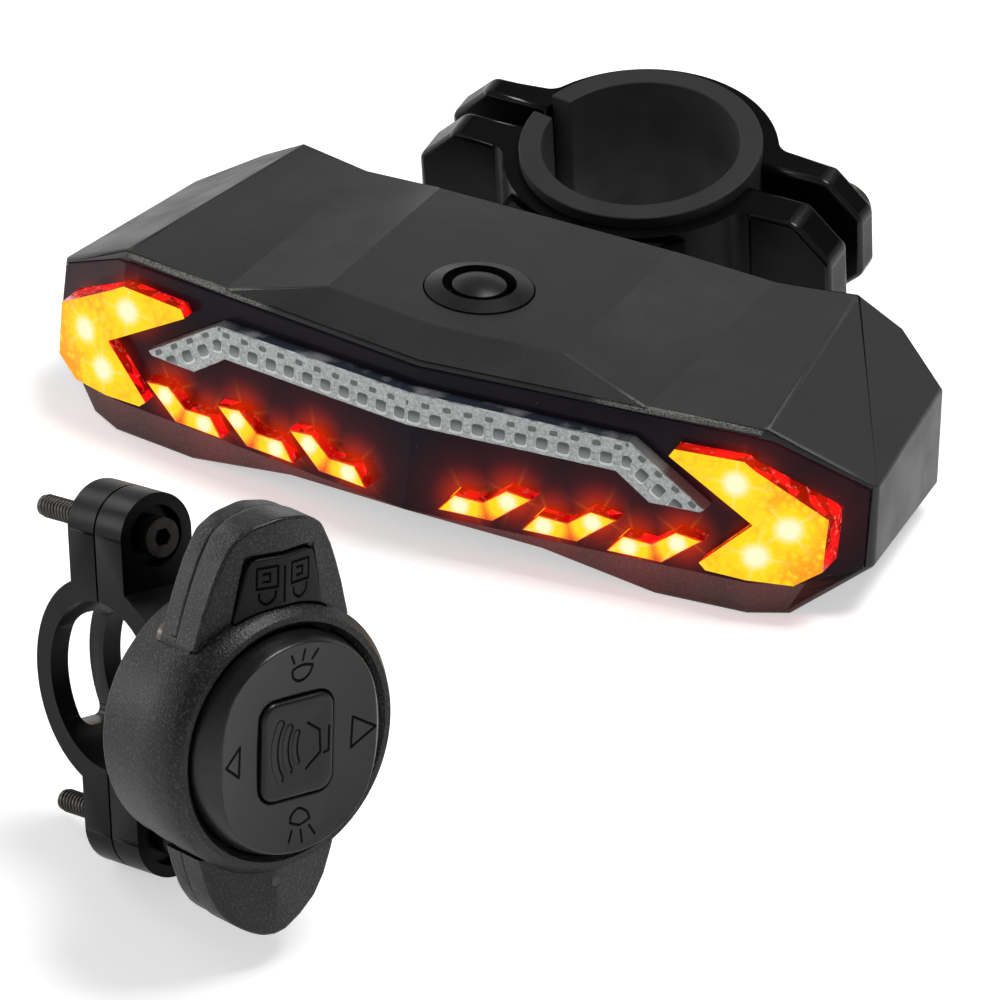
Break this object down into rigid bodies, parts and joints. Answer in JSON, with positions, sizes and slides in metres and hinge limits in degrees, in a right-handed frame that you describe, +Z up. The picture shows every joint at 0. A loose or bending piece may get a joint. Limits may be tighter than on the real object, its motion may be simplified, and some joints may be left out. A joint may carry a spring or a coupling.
{
  "type": "bicycle turn signal light",
  "caption": "Rear bicycle lamp bar with lit turn arrows and a seat post clamp, and its handlebar remote with a tilting rocker.",
  "frame": {"origin": "on the axis of the seat post clamp's bore, at the middle of its length", "axes": "+Z up, the lamp shines towards -Y, +X to the right of someone who looks along +Y"},
  "size_m": [0.1376, 0.2289, 0.064],
  "materials": {
    "housing_plastic": "moulded, fine grain",
    "front_smoke": "glossy smoked, near black with a red tint",
    "amber_lens": "clear amber, lit from behind",
    "strip_lens": "clear, ribbed inside",
    "clamp_plastic": "satin black",
    "liner_rubber": "matte dark grey",
    "remote_plastic": "finely textured black",
    "remote_gloss": "polished black",
    "screw_steel": "blackened steel",
    "bright_steel": "plain steel",
    "brass_insert": "knurled brass",
    "board_green": "solder mask",
    "led_white": "LED package",
    "inner_white": "white reflector plastic",
    "cell_wrap": "shrink wrap",
    "seal_rubber": "soft silicone"
  },
  "bodies": {
    "root": {"arrow_lens_left": "amber_lens", "arrow_lens_right": "amber_lens", "bar_clamp_front": "clamp_plastic", "bar_clamp_screws": "screw_steel", "battery_can": "remote_plastic", "battery_cell": "cell_wrap", "battery_cradle": "inner_white", "board_screws": "screw_steel", "bottom_cover": "housing_plastic", "bottom_cover_seal": "seal_rubber", "bracket_screws": "screw_steel", "brake_leds": "led_white", "brake_strip_lens": "strip_lens", "button_bezel": "clamp_plastic", "can_screws": "screw_steel", "can_seal": "seal_rubber", "cell_contact": "bright_steel", "charging_board": "board_green", "charging_socket": "bright_steel", "clamp_front": "clamp_plastic", "clamp_inserts": "brass_insert", "coin_cell": "bright_steel", "control_board": "board_green", "cover_screws": "screw_steel", "front_plate": "front_smoke", "indicator_light_pipe": "led_white", "led_board_left": "board_green", "led_board_right": "board_green", "light_reflector": "inner_white", "mount_bracket": "clamp_plastic", "post_liner": "liner_rubber", "power_switch": "remote_gloss", "push_switches": "remote_gloss", "remote_board": "board_green", "remote_case_screws": "screw_steel", "remote_front_housing": "remote_plastic", "remote_rear_housing": "remote_plastic", "signal_leds": "led_white", "sounder": "remote_gloss", "tick_lens_left_1": "amber_lens", "tick_lens_left_2": "amber_lens", "tick_lens_left_3": "amber_lens", "tick_lens_right_1": "amber_lens", "tick_lens_right_2": "amber_lens", "tick_lens_right_3": "amber_lens", "upper_housing": "housing_plastic"},
    "power_button": {"power_button": "clamp_plastic"},
    "clamp_rear_half": {"clamp_rear": "clamp_plastic", "clamp_bolts": "screw_steel"},
    "port_plug": {"port_plug": "seal_rubber"},
    "rocker_gimbal": {"rocker_gimbal": "remote_gloss"},
    "rocker": {"rocker_cap": "remote_gloss"},
    "horn_button": {"horn_button": "remote_gloss"},
    "lamp_key": {"lamp_key": "remote_gloss"},
    "bar_clamp_rear_half": {"bar_clamp_rear": "clamp_plastic", "bar_clamp_inserts": "brass_insert"}
  },
  "joints": [
    {"name": "power_button_press", "type": "slide", "parent": "root", "child": "power_button", "axis": [0, 0, -1], "range_m": [0, 0.0008], "stiffness_N_per_m": 800, "springref_m": -0.0003},
    {"name": "clamp_open", "type": "slide", "parent": "root", "child": "clamp_rear_half", "axis": [0, 0.9776, 0.2106], "range_m": [0, 0.005]},
    {"name": "plug_hinge", "type": "hinge", "parent": "root", "child": "port_plug", "pos_m": [0.03927, -0.02552, 0.00335], "axis": [0.9803, 0.1975, 0], "range_deg": [0, 100]},
    {"name": "rocker_up_down", "type": "hinge", "parent": "root", "child": "rocker_gimbal", "pos_m": [0.03469, -0.18791, 0.01274], "axis": [0.4121, 0.9058, -0.0982], "range_deg": [-3, 3], "stiffness_Nm_per_rad": 0.5},
    {"name": "rocker_side_to_side", "type": "hinge", "parent": "rocker_gimbal", "child": "rocker", "pos_m": [0.03469, -0.18791, 0.01274], "axis": [-0.0982, 0.1513, 0.9836], "range_deg": [-3, 3], "stiffness_Nm_per_rad": 0.5},
    {"name": "horn_press", "type": "slide", "parent": "rocker", "child": "horn_button", "axis": [-0.9058, 0.3957, -0.1513], "range_m": [0, 0.0006], "stiffness_N_per_m": 800, "springref_m": -0.0003},
    {"name": "lamp_key_press", "type": "slide", "parent": "root", "child": "lamp_key", "axis": [-0.9058, 0.3957, -0.1513], "range_m": [0, 0.0005], "stiffness_N_per_m": 800, "springref_m": -0.0003},
    {"name": "bar_clamp_open", "type": "slide", "parent": "root", "child": "bar_clamp_rear_half", "axis": [-0.8896, 0.3768, -0.2583], "range_m": [0, 0.006]}
  ]
}
